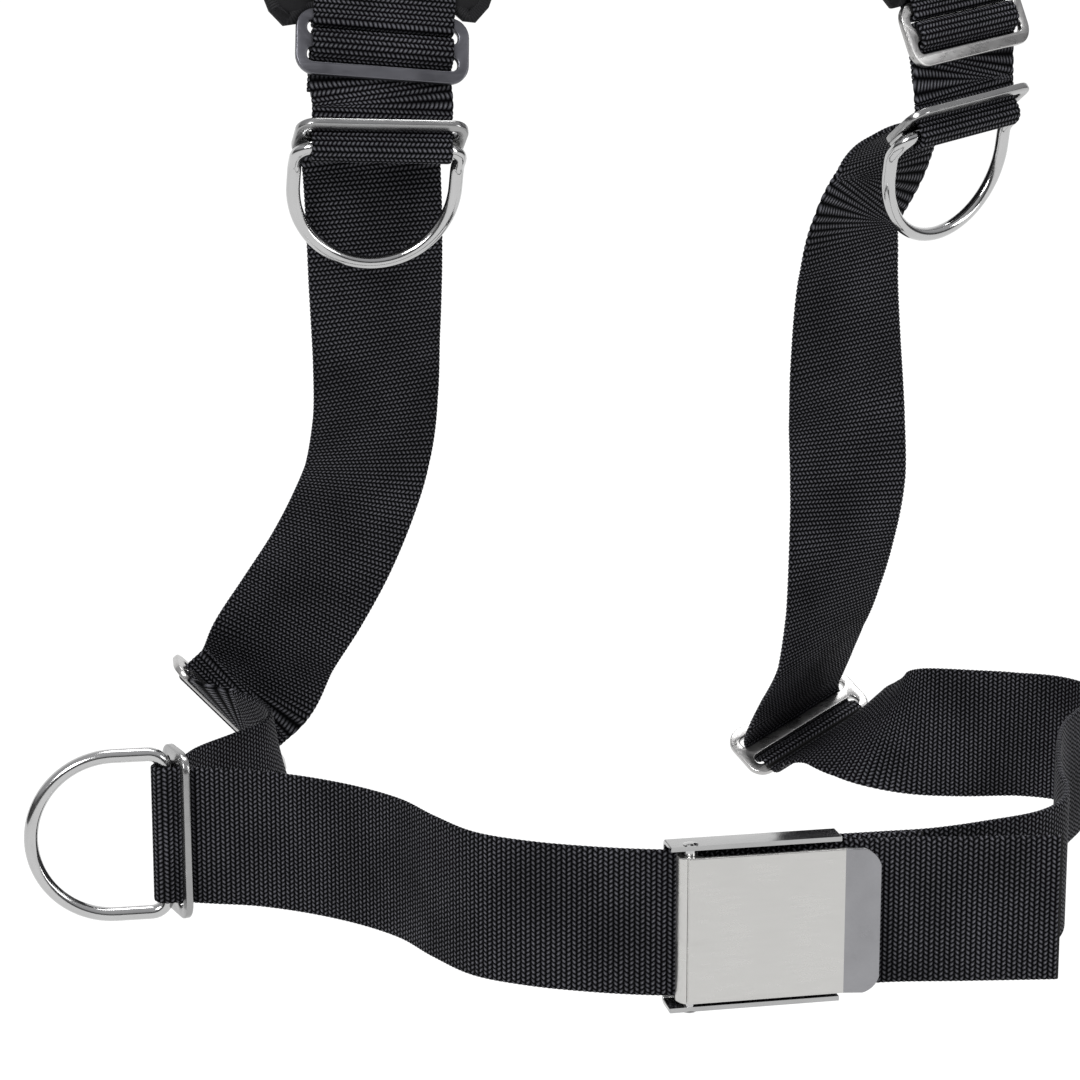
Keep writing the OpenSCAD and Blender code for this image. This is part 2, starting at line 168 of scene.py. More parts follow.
keeper_profile = (
    [(-7, 0), (-3, 0), half_bar(-1)]
    + turn(RING_BAR, WRAP_R, 100, -40, 7)
    + [half_bar(1), (6.3, -10.3)]
)


def in_buckle(profile, up):
    return [(buckle.at + x * buckle.w + z * buckle.v, np.array([0, 0, up], float)) for x, z in profile]


# ---- routes of the webbing ----
side_right = (
    slide_up_right.threaded(upper_profile)
    + keeper_right.threaded(keeper_profile + [(5.2, -14), (7, -18), (11.5, -21.5)])
    + stations([
        ([-102.2, -26, 229], [-1, 0, 0]),
        ([-101.2, -23.5, 214], [-1, -0.02, 0]),
        ([-99.7, -17, 190], [-1, -0.09, 0.04]),
        ([-98, -8, 162], [-0.96, -0.25, 0.15]),
        ([-97, 1, 138], [-0.93, -0.3, 0.2]),
        ([-98.5, 12, 114], [-0.92, -0.28, 0.28]),
        ([-103, 20, 96], [-0.92, -0.2, 0.36]),
        ([-111, 28, 75], [-0.92, -0.08, 0.4]),
        ([-121, 36, 55], [-0.9, 0.05, 0.43]),
        ([-131, 45, 36], [-0.85, 0.08, 0.52]),
    ])
    + slide_hip_right.threaded(hip_profile)
)
side_left = (
    slide_up_left.threaded(upper_profile)
    + keeper_left.threaded(
        keeper_profile + [(7, -14), (11, -24), (16, -34), (23, -42), (33, -48)])
    + stations([
        ([89, -6, 205], [-0.85, -0.5, -0.05]),
        ([88, -1, 185], [-0.92, -0.39, -0.09]),
        ([90, 6, 150], [-0.97, -0.24, -0.1]),
        ([93, 12, 124], [-0.98, -0.13, -0.12]),
        ([94, 12, 98], [-0.98, -0.13, -0.14]),
        ([93, 14.5, 73], [-0.95, -0.24, -0.2]),
        ([92, 21, 48.5], [-0.9, -0.34, -0.27]),
        ([90.5, 31, 26.5], [-0.86, -0.39, -0.33]),
        ([88.8, 43.5, 10.5], [-0.88, -0.31, -0.36]),
    ])
    + slide_hip_left.threaded(hip_profile)
)
waist_right = (
    slide_hip_right.threaded(hip_exit_right)
    + stations([
        ([-143, 28, 6], [-0.58, 0.2, 0.79]),
        ([-138.5, 18, 3.5], [-0.45, 0.22, 0.87]),
        ([-135.5, 5, 1.5], [-0.28, 0.12, 0.95]),
        ([-137, -9.5, 0.5], [-0.15, 0.02, 0.99]),
        ([-144, -23.5, 0], [-0.05, 0, 1]),
        ([-159, -38, 0], [0, 0, 1]),
        ([-174, -53, 0], [0, 0, 1]),
    ])
    + keeper_belt.threaded((keeper_profile + [(5, -16)])[::-1])
    + stations([
        ([-156, -87, 0], [0, 0, 1]),
        ([-131, -107, 0], [0, 0, 1]),
        ([-114, -130, 0], [0, 0, 1]),
        ([-106, -152, 0], [0, 0, 1]),
        ([-96, -173, 0], [0, 0, 1]),
        ([-81, -186, 0], [0, 0, 1]),
        ([-63, -196, 0], [0, 0, 1]),
        ([-46, -203, 0], [0, 0, 1]),
    ])
    + in_buckle(
        [(-27, 2.9), (-8, 2.9), (10, 3.2), (19, 5.4), (30, 5.4), (48, 6), (72, 10), (104, 15)], 1)
)
waist_left = (
    slide_hip_left.threaded(hip_exit_left)
    + stations([
        ([100.5, 27, -7], [-0.82, -0.3, -0.48]),
        ([105, 15, -4.5], [-0.7, -0.3, -0.64]),
        ([111, 2, -2], [-0.48, -0.3, -0.82]),
        ([121, -8, -0.5], [-0.26, -0.22, -0.94]),
        ([137, -16, 0], [-0.1, -0.12, -0.99]),
        ([155, -22, 0], [0, 0, -1]),
        ([168, -30, 0], [0, 0, -1]),
        ([174, -41, 0], [0, 0, -1]),
        ([173, -52, 0], [0, 0, -1]),
        ([164, -68, 0], [0, 0, -1]),
        ([146, -92, 0], [0, 0, -1]),
        ([133, -118, 0], [0, 0, -1]),
        ([121, -150, 0], [0, 0, -1]),
        ([116, -168, 0], [0, 0, -1]),
        ([108, -183, 0], [0, 0, -1]),
        ([96, -193, 0], [0, 0, -1]),
        ([76, -199, 0], [0, 0, -1]),
    ])
    + in_buckle([
        (64, -1.3), (46, -1.3), (30, -1.6), (26, -1.6), (22.8, -1.3), (21.2, 0.8),
        (22.8, 2.9), (26, 3.1), (30, 2.8), (37, 1.3), (46, 1), (60, 1),
    ], -1)
)

# Middle of each shoulder pad, from its front end over to its back end
pad_right = stations([
    ([-102, -43, 291], [1, 0, -0.08]),
    ([-102, -43, 310], [1, 0, -0.06]),
    ([-101, -41, 345], [1, 0, 0]),
    ([-98, -33, 380], [1, 0, 0.1]),
    ([-94, -14, 412], [1, 0, 0.18]),
    ([-90, 12, 427], [1, 0, 0.2]),
    ([-86, 40, 418], [1, 0, 0.16]),
    ([-83, 60, 393], [1, 0, 0.08]),
    ([-81, 66, 370], [1, 0, 0]),
    ([-80, 68, 350], [1, 0, 0]),
])
pad_left = stations([
    ([112, -47, 296], [0.88, 0.44, 0.12]),
    ([111, -46, 315], [0.9, 0.4, 0.1]),
    ([108, -43, 348], [0.95, 0.3, 0.02]),
    ([103, -34, 382], [1, 0.15, -0.1]),
    ([98, -14, 412], [1, 0.05, -0.18]),
    ([93, 12, 427], [1, 0, -0.2]),
    ([88, 40, 418], [1, 0, -0.16]),
    ([83, 60, 393], [1, 0, -0.08]),
    ([81, 66, 370], [1, 0, 0]),
    ([80, 68, 350], [1, 0, 0]),
])
WEB_OFFSET = 1.7  # webbing outward of the middle of the pad
YOKE_Y, YOKE_Z, YOKE_X = 68.5 + WEB_OFFSET + WEB_T + 0.2, 318, 80 + WEB_W / 2 + 6


# ---- runs ----
def heading(s, i):
    legs = [unit(s[j + 1][0] - s[j][0]) for j in (i - 1, i) if 0 <= j < len(s) - 1]
    return unit(sum(legs))


def between(s, i, t):
    """A point of the smooth run between stations i and i + 1."""
    (a, across_a), (b, across_b) = s[i], s[i + 1]
    d = np.linalg.norm(b - a)
    centre = (
        (2 * t**3 - 3 * t**2 + 1) * a
        + (t**3 - 2 * t**2 + t) * d * heading(s, i)
        + (3 * t**2 - 2 * t**3) * b
        + (t**3 - t**2) * d * heading(s, i + 1)
    )
    return centre, unit(across_a * (1 - t) + across_b * t)


def unit_rows(rows):
    return rows / np.linalg.norm(rows, axis=1)[:, None]


class Run:
    """Evenly spaced rings along stations: centre, across, out and distance."""

    def __init__(self, s, step, fine=0.5):
        rows = []
        for i in range(len(s) - 1):
            n = max(2, math.ceil(np.linalg.norm(s[i + 1][0] - s[i][0]) / fine))
            rows += [between(s, i, j / n) for j in range(n)]
        rows.append(between(s, len(s) - 2, 1))
        centre = np.array([r[0] for r in rows])
        across = np.array([r[1] for r in rows])
        gone = np.linalg.norm(np.diff(centre, axis=0), axis=1)
        distance = np.concatenate([[0], np.cumsum(gone)])
        self.s = np.linspace(0, distance[-1], max(2, round(distance[-1] / step)) + 1)
        self.length = distance[-1]
        self.centre = self.even(distance, centre)
        self.ahead = unit_rows(np.gradient(self.centre, axis=0))
        across = self.even(distance, across)
        across -= np.sum(across * self.ahead, axis=1)[:, None] * self.ahead
        self.across = unit_rows(across)
        self.out = np.cross(self.across, self.ahead)

    def even(self, distance, rows):
        return np.stack([np.interp(self.s, distance, rows[:, k]) for k in range(3)], axis=1)

    def at(self, i, across, out):
        """Points of ring i at distances across the run and out of it."""
        return self.centre[i] + np.outer(across, self.across[i]) + np.outer(out, self.out[i])


def beside(s, offset):
    """Stations beside a run, facing the other way."""
    rows = []
    for i, (centre, across) in enumerate(s):
        ahead = heading(s, i)
        across = square_to(across, ahead)
        rows.append((centre + offset * np.cross(across, ahead), -across))
    return rows


def shoulder_route(place, pad):
    inside = beside(pad, WEB_OFFSET)
    end, across = inside[-1]
    back = [(end + np.array([0, 0.5, -drop]), across) for drop in (10, 58)]
    return place.threaded(loop_profile) + inside[2:] + back


# ---- meshes ----
def piece(name, points, faces, material, smooth=True):
    """A mesh object in the frame's metres, from points in millimetres."""
    mesh = bpy.data.meshes.new(name)
    mesh.from_pydata(((np.asarray(points, float) - REST) * MM).tolist(), [], faces)
    mesh.update()
    obj = bpy.data.objects.new(name, mesh)
    bpy.context.scene.collection.objects.link(obj)
    mesh.materials.append(material)
    if smooth:
        mesh.shade_smooth()
    return obj


def give(obj, attribute, values):
    """Stores one vector for each point, for the material to read."""
    data = obj.data.attributes.new(attribute, "FLOAT_VECTOR", "POINT")
    data.data.foreach_set("vector", np.asarray(values, np.float32).ravel())


def tube_faces(rings, n, closed_run=False):
    """Quads between rings of n points, which go round clockwise seen ahead."""
    faces = []
    for i in range(rings if closed_run else rings - 1):
        j = (i + 1) % rings
        faces += [(i * n + k, i * n + (k + 1) % n, j * n + (k + 1) % n, j * n + k) for k in range(n)]
    return faces


def capped(rings, n):
    last = (rings - 1) * n
    return tube_faces(rings, n) + [tuple(range(n))[::-1], tuple(last + k for k in range(n))]


def mated(obj, body, nodes):
    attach(obj, body)
    if nodes:
        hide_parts(*nodes)
    return obj


def face_outward(mesh, weld=None):
    """Turns the faces outward, after joining points closer than weld metres."""
    build = bmesh.new()
    build.from_mesh(mesh)
    if weld:
        bmesh.ops.remove_doubles(build, verts=build.verts, dist=weld)
    bmesh.ops.recalc_face_normals(build, faces=build.faces)
    build.to_mesh(mesh)
    build.free()


def applied(obj, *modifiers):
    """The object's mesh with these modifiers, given as (type, settings), applied."""
    for kind, settings in modifiers:
        modifier = obj.modifiers.new(kind, kind)
        for key, value in settings.items():
            setattr(modifier, key, value)
    graph = bpy.context.evaluated_depsgraph_get()
    mesh = bpy.data.meshes.new_from_object(obj.evaluated_get(graph))
    obj.modifiers.clear()
    obj.data = mesh
    return obj


# ---- materials ----
class Shader:
    """A Principled material whose nodes are added one call at a time."""

    def __init__(self, name, roughness, metallic=0.0):
        self.material = bpy.data.materials.new(name)
        self.material.use_nodes = True
        self.tree = self.material.node_tree
        self.surface = self.tree.nodes["Principled BSDF"]
        self.surface.inputs["Roughness"].default_value = roughness
        self.surface.inputs["Metallic"].default_value = metallic

    def node(self, kind, inputs=(), **settings):
        node = self.tree.nodes.new("ShaderNode" + kind)
        for key, value in settings.items():
            setattr(node, key, value)
        for key, value in dict(inputs).items():
            self.feed(node.inputs[key], value)
        return node

    def feed(self, socket, value):
        if isinstance(value, bpy.types.NodeSocket):
            self.tree.links.new(value, socket)
        else:
            socket.default_value = value

    def math(self, operation, *values):
        return self.node("Math", enumerate(values), operation=operation).outputs[0]

    def ramp(self, value, low, high, from_low=0.0, from_high=1.0):
        """value from from_low..from_high to low..high, as a number."""
        inputs = {"Value": value, "From Min": from_low, "From Max": from_high, "To Min": low, "To Max": high}
        return self.node("MapRange", inputs).outputs[0]

    def mix(self, factor, low, high):
        """A colour between two RGB colours."""
        node = self.node("Mix", data_type="RGBA")
        self.feed(node.inputs[0], factor)
        for socket, value in ((node.inputs[6], low), (node.inputs[7], high)):
            self.feed(socket, value if isinstance(value, bpy.types.NodeSocket) else (*value, 1))
        return node.outputs[2]

    def place(self, scale=(1, 1, 1)):
        """Object coordinates, stretched along each axis."""
        coordinates = self.node("TexCoord").outputs["Object"]
        return self.node("Mapping", {"Vector": coordinates, "Scale": scale}).outputs[0]

    def noise(self, scale, detail=2.0, stretch=(1, 1, 1), vector=None):
        vector = vector or self.place(stretch)
        inputs = {"Vector": vector, "Scale": scale, "Detail": detail}
        return self.node("TexNoise", inputs).outputs["Fac"]

    def colour(self, value):
        self.feed(self.surface.inputs["Base Color"], value)

    def rough(self, value):
        self.feed(self.surface.inputs["Roughness"], value)

    def bump(self, height, distance, strength=1.0):
        inputs = {"Height": height, "Distance": distance, "Strength": strength}
        self.feed(self.surface.inputs["Normal"], self.node("Bump", inputs).outputs[0])


def webbing_material(name, dark, light, strand=1.65):
    """Ribs across the strap, each a row of slanted strands that change side, with a lighter colour on the strand
    tops as a painted highlight and a darker one in the valleys between ribs as painted shade.
    """
    shader = Shader(name, 0.55)
    weave = shader.node("Attribute", attribute_name="weave").outputs["Vector"]
    split = shader.node("SeparateXYZ", {"Vector": weave})
    across, along = split.outputs[0], split.outputs[1]
    in_rib = shader.math("FRACT", along)
    ridge = shader.math("SINE", shader.math("MULTIPLY", in_rib, math.pi))
    half = shader.math("FRACT", shader.math("MULTIPLY", shader.math("FLOOR", along), 0.5))
    slant = shader.math("SUBTRACT", 1.0, shader.math("MULTIPLY", half, 4.0))
    wobble = shader.ramp(shader.noise(160.0), -0.12, 0.12, 0.3, 0.7)
    lean = shader.math("MULTIPLY", slant, shader.math("SUBTRACT", in_rib, 0.5))
    phase = shader.math("ADD", shader.math("DIVIDE", across, strand), shader.math("MULTIPLY", lean, 0.6))
    phase = shader.math("ADD", shader.math("ADD", phase, half), wobble)
    wave = shader.math("COSINE", shader.math("MULTIPLY", phase, 2 * math.pi))
    pulse = shader.math("POWER", shader.ramp(wave, 0.0, 1.0, -1.0, 1.0), 1.2)
    strands = shader.math("MULTIPLY", pulse, shader.math("POWER", ridge, 2.4))
    worn = shader.ramp(shader.noise(35.0, 4.0), 0.6, 1.25, 0.3, 0.7)
    # Colour: the strand tops are painted lighter as a painted highlight, and the valleys between ribs darkest as
    # painted shade; worn varies this at random.
    shader.colour(shader.mix(shader.math("MULTIPLY", strands, worn), dark, light))
    shader.rough(shader.ramp(strands, 0.75, 0.48))
    shader.feed(shader.surface.inputs["Specular IOR Level"], shader.ramp(strands, 0.02, 0.3))
    fuzz = shader.math("MULTIPLY", shader.noise(2600.0), 0.15)
    shader.bump(shader.math("ADD", strands, fuzz), 0.0004, 1.0)
    return shader.material


def cloth_material(name, dark, light, grain=1500.0, depth=0.00012):
    """A close plain cloth: fine crossed threads under a slow change of tone."""
    shader = Shader(name, 0.7)
    shader.feed(shader.surface.inputs["Specular IOR Level"], 0.2)
    warp = shader.noise(grain, 1.0, (1, 1, 0.25))
    weft = shader.noise(grain, 1.0, (0.25, 0.25, 1))
    threads = shader.math("ADD", shader.math("MULTIPLY", warp, 0.5), shader.math("MULTIPLY", weft, 0.5))
    tone = shader.ramp(shader.noise(22.0, 3.0), 0.2, 1.0, 0.3, 0.7)
    shader.colour(shader.mix(shader.math("MULTIPLY", threads, tone), dark, light))
    shader.rough(shader.ramp(threads, 0.6, 0.85, 0.3, 0.7))
    shader.bump(threads, depth, 0.8)
    return shader.material


def tape_material(name, dark, light):
    """Narrow edge tape with fine cords across it."""
    shader = Shader(name, 0.6)
    shader.feed(shader.surface.inputs["Specular IOR Level"], 0.2)
    weave = shader.node("Attribute", attribute_name="weave").outputs["Vector"]
    along = shader.node("SeparateXYZ", {"Vector": weave}).outputs[1]
    cords = shader.ramp(shader.math("SINE", shader.math("MULTIPLY", along, 2 * math.pi)), 0.0, 1.0, -1.0, 1.0)
    tone = shader.math("MULTIPLY", cords, shader.ramp(shader.noise(60.0, 3.0), 0.5, 1.0, 0.3, 0.7))
    shader.colour(shader.mix(tone, dark, light))
    shader.bump(cords, 0.00015, 0.8)
    return shader.material


def foam_material(name):
    shader = Shader(name, 0.9)
    cells = shader.node("TexVoronoi", {"Vector": shader.place(), "Scale": 1400.0}).outputs["Distance"]
    shader.colour(shader.mix(cells, (0.03, 0.03, 0.032), (0.07, 0.07, 0.074)))
    shader.bump(cells, 0.0003)
    return shader.material


def steel_material(name, tone, roughness, stretch, mottle=0.06, scratch=0.5):
    """Stainless steel: a drawn grain, cloudy polish and rare fine scratches."""
    shader = Shader(name, roughness, metallic=1.0)
    cloud = shader.noise(70.0, 5.0)
    grain = shader.noise(900.0, 3.0, stretch)
    scored = shader.ramp(shader.noise(160.0, 6.0, stretch), 0.0, 1.0, 0.62, 0.7)
    shade = shader.ramp(cloud, 1 - mottle, 1.0, 0.3, 0.7)
    shade = shader.math("MULTIPLY", shade, shader.ramp(scored, 1.0, 0.88))
    dark = [channel * 0.55 for channel in tone]
    shader.colour(shader.mix(shade, dark, tone))
    clouded = shader.ramp(cloud, roughness * 0.8, roughness * 1.25, 0.3, 0.7)
    shader.rough(shader.math("ADD", clouded, shader.ramp(grain, -0.04, 0.05, 0.3, 0.7)))
    height = shader.math("SUBTRACT", grain, shader.math("MULTIPLY", scored, scratch))
    shader.bump(height, 0.00003, 0.5)
    return shader.material


# The webbing's second, lighter colour is the painted highlight on its strand tops.
WEBBING = webbing_material("webbing", (0.0006, 0.0006, 0.0008), (0.1, 0.1, 0.115))
COVER = cloth_material("pad_cloth", (0.003, 0.003, 0.0035), (0.014, 0.014, 0.016))
BINDING = tape_material("edge_tape", (0.002, 0.002, 0.0025), (0.012, 0.012, 0.014))
FOAM = foam_material("closed_cell_foam")
THREAD = cloth_material("sewing_thread", (0.004, 0.004, 0.005), (0.03, 0.03, 0.034), 3000.0)
SEALED = cloth_material("sealed_cut", (0.002, 0.002, 0.002), (0.008, 0.008, 0.008), 600.0)
DULL_STEEL = steel_material("dull_steel", (0.13, 0.13, 0.145), 0.38, (0.15, 1, 1), 0.35)
SATIN_STEEL = steel_material("satin_steel", (0.46, 0.455, 0.45), 0.28, (0.15, 1, 1), 0.2)
KEEPER_STEEL = steel_material("keeper_steel", (0.34, 0.34, 0.34), 0.22, (0.15, 1, 1), 0.3)
ROD_STEEL = steel_material("polished_rod", (0.5, 0.5, 0.5), 0.12, (1, 1, 0.3), 0.15, 0.2)
BUCKLE_STEEL = steel_material("buckle_steel", (0.56, 0.555, 0.54), 0.3, (0.12, 1, 1), 0.08, 0.2)
FLANGE_STEEL = steel_material("flange_steel", (0.42, 0.42, 0.42), 0.16, (0.12, 1, 1), 0.3)
# The thumb lip's steel: a darker, rougher copy of the buckle's steel, painted shade for the lip's darker
# reflection.
LIP_SHADED_STEEL = steel_material("lip_painted_shade_steel", (0.33, 0.33, 0.345), 0.36, (1, 1, 1), 0.4, 0.2)


# ---- webbing ----
def tape_section(half_w, half_t, flat=14, round_steps=4):
    """Points round the strap: across, out, and the side they are on."""
    x = half_w - half_t
    angles = np.radians(np.linspace(-90, 90, round_steps + 1)[1:-1])
    bottom = [(a, -half_t, -1) for a in np.linspace(-x, x, flat)]
    right = [(x + half_t * math.cos(a), half_t * math.sin(a), 0) for a in angles]
    top = [(a, half_t, 1) for a in np.linspace(x, -x, flat)]
    left = [(-x - half_t * math.cos(a), -half_t * math.sin(a), 0) for a in angles]
    return np.array(bottom + right + top + left)


def webbing(name, route, body, nodes):
    """A ribbed strap swept along its route, with its ends cut and sealed."""
    run = Run(route, RIB / RIB_STEPS)
    section = tape_section(WEB_W / 2, WEB_T / 2)
    ribs = run.s / RIB
    swell = np.abs(np.sin(np.pi * ribs)) ** 0.6
    near_end = np.minimum(run.s, run.length - run.s) < SEALED_L
    swell[near_end] = 0.6
    points, weave = [], []
    for i, rib in enumerate(swell):
        out = section[:, 1] * (1 - 0.3 * (1 - rib))
        across = section[:, 0] * (1 - 0.012 * (1 - rib))
        points.append(run.at(i, across, out))
        weave.append(np.column_stack([section[:, 0], np.full(len(section), ribs[i]), section[:, 2]]))
    points[0] = run.at(0, section[:, 0] * 0.99, section[:, 1] * 0.6)
    points[-1] = run.at(len(swell) - 1, section[:, 0] * 0.99, section[:, 1] * 0.6)
    n = len(section)
    obj = piece(name, np.vstack(points), capped(len(points), n), WEBBING)
    give(obj, "weave", np.vstack(weave))
    obj.data.materials.append(SEALED)
    for polygon in obj.data.polygons:
        rings = {v // n for v in polygon.vertices}
        if near_end[list(rings)].all():
            polygon.material_index = 1
    return mated(obj, body, nodes)


# ---- sewing ----
STITCH_STEP, STITCH_L, STITCH_R = 3.4, 2.5, 0.32


def sew(name, rows, body):
    """Thread lying in short stitches along each row of (point, outward)."""
    points, faces = [], []
    for row in rows:
        row = [(np.asarray(p, float), unit(o)) for p, o in row]
        for (a, out_a), (b, _) in zip(row, row[1:]):
            length = np.linalg.norm(b - a)
            ahead = (b - a) / length
            side = np.cross(out_a, ahead)
            for k in range(max(1, round(length / STITCH_STEP))):
                middle = a + ahead * STITCH_STEP * (k + 0.5)
                if STITCH_STEP * (k + 0.8) > length + 0.5:
                    continue
                start = len(points)
                for d, r in ((-0.5, 0.35), (-0.3, 1), (0.3, 1), (0.5, 0.35)):
                    for angle in np.radians(np.arange(0, 360, 60)):
                        reach = STITCH_R * r * (math.cos(angle) * side + math.sin(angle) * out_a)
                        points.append(middle + ahead * d * STITCH_L + reach)
                faces += [tuple(start + v for v in f) for f in capped(4, 6)]
    return mated(piece(name, points, faces, THREAD), body, ())


# ---- metal ----
def outline_rectangle(w, h, r, steps=8):
    """A rectangle with round corners, anticlockwise."""
    points = []
    for k, (x, y) in enumerate(((1, 1), (-1, 1), (-1, -1), (1, -1))):
        centre = (x * (w / 2 - r), y * (h / 2 - r))
        points += turn(centre, r, 90 * k, 90 * k + 90, steps)
    return points


def plate(name, place, outlines, thickness, bevel, material, turned=None):
    """A flat plate with holes and rounded edges, in a place's own axes.

    The outlines lie in the place's (w, u) plane, the first round the others,
    unless turned gives the axes that the outlines and the thickness follow.
    """
    curve = bpy.data.curves.new(name, "CURVE")
    curve.dimensions = "2D"
    curve.fill_mode = "BOTH"
    curve.extrude = (thickness / 2 - bevel) * MM
    curve.bevel_depth = bevel * MM
    curve.bevel_resolution = 2
    curve.offset = -bevel * MM
    for outline in outlines:
        spline = curve.splines.new("POLY")
        spline.points.add(len(outline) - 1)
        spline.use_cyclic_u = True
        for point, (x, y) in zip(spline.points, outline):
            point.co = (x * MM, y * MM, 0, 1)
    maker = bpy.data.objects.new(name + "_outline", curve)
    bpy.context.scene.collection.objects.link(maker)
    mesh = bpy.data.meshes.new_from_object(maker)
    bpy.data.objects.remove(maker)
    mesh.name = name
    x, y, z = turned or (place.w, place.u, place.v)
    matrix = Matrix(np.array([x, y, z]).T.tolist()).to_4x4()
    matrix.translation = Vector((place.at - REST) * MM)
    mesh.transform(matrix)
    face_outward(mesh, weld=0.01 * MM)
    mesh.materials.clear()
    mesh.materials.append(material)
    mesh.shade_smooth()
    mesh.set_sharp_from_angle(angle=math.radians(35))
    obj = bpy.data.objects.new(name, mesh)
    bpy.context.scene.collection.objects.link(obj)
    return obj


def three_bar_slide(name, place, body, material, slot):
    slots = []
    for side in (-1, 1):
        hole = outline_rectangle(SLOT_L, SLOT_H, SLOT_H * 0.45)
        slots.append([(x, y + side * BAR_PITCH / 2) for x, y in hole])
    outer = outline_rectangle(SLIDE_L, SLIDE_H, 7)
    obj = plate(name, place, [outer] + slots, SLIDE_T, 0.55, material)
    return mated(obj, body, [name])


def arc3(centre, radius, start, end, x, y, steps):
    angles = np.radians(np.linspace(start, end, steps + 1))
    centre, x, y = (np.asarray(v, float) for v in (centre, x, y))
    return [centre + radius * (math.cos(a) * x + math.sin(a) * y) for a in angles]


def ring_path(bend):
    """Middle of a D-ring's rod: straight bar, corners, bent legs and bow."""
    corner, leg = 6, (RING_W - ROD_D) / 2
    arc_y, bend_y, bend_r = RING_H - ROD_D - leg, 11, 7
    b = math.radians(bend)
    path = [np.array([x, 0, 0]) for x in np.linspace(-leg + corner, leg - corner, 12)]
    path += arc3((leg - corner, corner, 0), corner, -90, 0, (1, 0, 0), (0, 1, 0), 8)[1:]
    cut = bend_r * math.tan(b / 2)
    if bend:
        centre = (leg, bend_y - cut, bend_r)
        path += arc3(centre, bend_r, -90, -90 + bend, (0, 1, 0), (0, 0, 1), 6)
    along = np.array([0, math.cos(b), math.sin(b)])
    bow = np.array([0, bend_y, 0]) + (arc_y - bend_y) * along
    path += arc3(bow, leg, 0, 180, (1, 0, 0), along, 48)
    mirrored = [p * [-1, 1, 1] for p in path[12:-49]]
    return path + mirrored[::-1]


def rod_ring(name, place, bend, body):
    path = place.points(ring_path(bend))
    n = 20
    ahead = unit_rows(np.roll(path, -1, axis=0) - np.roll(path, 1, axis=0))
    side = unit_rows(np.cross(ahead, place.v))
    up = np.cross(side, ahead)
    points = []
    for centre, s, o in zip(path, side, up):
        for a in np.radians(np.arange(0, 360, 360 / n)):
            points.append(centre + ROD_D / 2 * (math.cos(a) * s + math.sin(a) * o))
    faces = [f[::-1] for f in tube_faces(len(path), n, closed_run=True)]
    obj = piece(name, points, faces, ROD_STEEL)
    face_outward(obj.data)
    return mated(obj, body, [name])


# ---- buckle: x along the belt, y up, z outward ----
def block(name, low, high):
    """A box between two corners in the buckle's axes."""
    corners = [[(low, high)[i][0], (low, high)[j][1], (low, high)[k][2]]
               for i in (0, 1) for j in (0, 1) for k in (0, 1)]
    faces = [(0, 1, 3, 2), (4, 6, 7, 5), (0, 4, 5, 1), (2, 3, 7, 6), (0, 2, 6, 4), (1, 5, 7, 3)]
    return piece(name, buckle.points(corners), faces, FLANGE_STEEL, smooth=False)


def cut(obj, tool, operation="DIFFERENCE"):
    applied(obj, ("BOOLEAN", {"object": tool, "operation": operation, "solver": "EXACT"}))
    bpy.data.objects.remove(tool)


def buckle_base():
    """A channel with rolled corners, and a slot that holds the left strap."""
    half, r = BASE_H / 2, 2.4
    inner = half - SHEET_T
    outside = [(-half, FLANGE_D)] + turn((-half + r, r), r, 180, 270, 6)
    outside += turn((half - r, r), r, 270, 360, 6) + [(half, FLANGE_D)]
    low, inside_r = SHEET_T, r - SHEET_T
    inside = [(inner, FLANGE_D)] + turn((inner - inside_r, low + inside_r), inside_r, 360, 270, 3)
    inside += turn((-inner + inside_r, low + inside_r), inside_r, 270, 180, 3) + [(-inner, FLANGE_D)]
    profile = outside + inside
    axes = (buckle.u, buckle.v, buckle.w)
    obj = plate("buckle_base", buckle, [profile], BASE_L, 0.3, FLANGE_STEEL, axes)
    tool = block("slot_tool", (SLOT_X, -inner + 1, -2), (SLOT_X + SLOT_W, inner - 1, FLANGE_D))
    cut(obj, tool)
    obj.data.set_sharp_from_angle(angle=math.radians(35))
    return mated(obj, "harness", ["buckle_base"])


def lathe(name, profile, place_at, axis, side, material, steps=32):
    """A round piece from (radius, distance along the axis) points."""
    other = np.cross(axis, side)
    points = []
    for r, h in profile:
        for a in np.radians(np.arange(0, 360, 360 / steps)):
            points.append(place_at + h * axis + r * (math.cos(a) * side + math.sin(a) * other))
    faces = [f[::-1] for f in capped(len(profile), steps)]
    obj = piece(name, points, faces, material)
    obj.data.set_sharp_from_angle(angle=math.radians(50))
    return obj


def buckle_pin():
    """The hinge pin, with its two ends peened over the flanges."""
    r, h = PIN_D / 2, BASE_H / 2
    half = [(0.6, h + 0.75), (1.5, h + 0.6), (r + 0.5, h + 0.25), (r + 0.5, h + 0.02), (r, h)]
    profile = half + [(x, -y) for x, y in half[::-1]]
    at = buckle.put(0, PIN_Z, PIN_X)
    obj = lathe("buckle_pin", profile, at, buckle.u, buckle.w, ROD_STEEL)
    face_outward(obj.data)
    return mated(obj, "harness", ["buckle_pin"])


